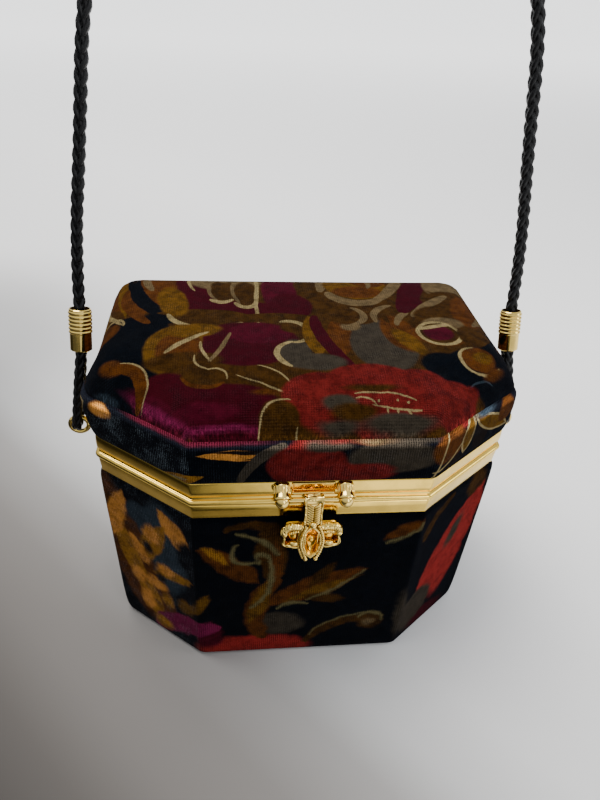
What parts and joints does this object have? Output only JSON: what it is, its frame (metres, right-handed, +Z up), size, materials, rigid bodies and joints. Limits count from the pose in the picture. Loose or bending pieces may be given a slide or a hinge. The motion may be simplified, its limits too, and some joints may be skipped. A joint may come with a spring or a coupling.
{
  "type": "box purse",
  "caption": "Stiff eight-sided velvet box purse with brass frames, a back-hinged lid, a lift clasp in front and a taut braided cord strap.",
  "frame": {"origin": "middle of the flat base, on the surface the purse stands on; midway between the frame's front and back faces", "axes": "+X to the wearer's right when facing the clasp, -Y out of the front with the clasp, +Z up"},
  "size_m": [0.193, 0.1177, 0.2988],
  "materials": {
    "velvet": "ribbed patterned velvet",
    "board": "stiff pasteboard",
    "lining": "thin woven cloth",
    "wadding": "soft wadding",
    "frame_brass": "polished, light satin",
    "fitting_brass": "polished",
    "cord": "braided glossy cord"
  },
  "bodies": {
    "case": {"case_shell": "board", "case_cover": "velvet", "case_lining": "lining", "case_frame": "frame_brass", "clasp_catch": "fitting_brass", "hinge_case_leaf_left": "fitting_brass", "hinge_pin_left": "fitting_brass", "strap_eye_left": "fitting_brass", "strap_loop_left": "cord", "strap_ferrule_left": "fitting_brass", "hinge_case_leaf_right": "fitting_brass", "hinge_pin_right": "fitting_brass", "strap_eye_right": "fitting_brass", "strap_loop_right": "cord", "strap_ferrule_right": "fitting_brass", "strap_cord": "cord"},
    "lid": {"lid_shell": "board", "lid_padding": "wadding", "lid_cover": "velvet", "lid_lining": "lining", "lid_frame": "frame_brass", "clasp_plate": "fitting_brass", "clasp_rod": "fitting_brass", "hinge_lid_leaf_left": "fitting_brass", "clasp_stud_left": "fitting_brass", "hinge_lid_leaf_right": "fitting_brass", "clasp_stud_right": "fitting_brass"},
    "clasp_lever": {"clasp_lever": "fitting_brass"}
  },
  "joints": [
    {"name": "lid_hinge", "type": "hinge", "parent": "case", "child": "lid", "pos_m": [0, 0.05545, 0.09298], "axis": [-1, 0, 0], "range_deg": [0, 100]},
    {"name": "clasp_hinge", "type": "hinge", "parent": "lid", "child": "clasp_lever", "pos_m": [0, -0.057, 0.098], "axis": [-1, 0, 0], "range_deg": [0, 110]}
  ]
}
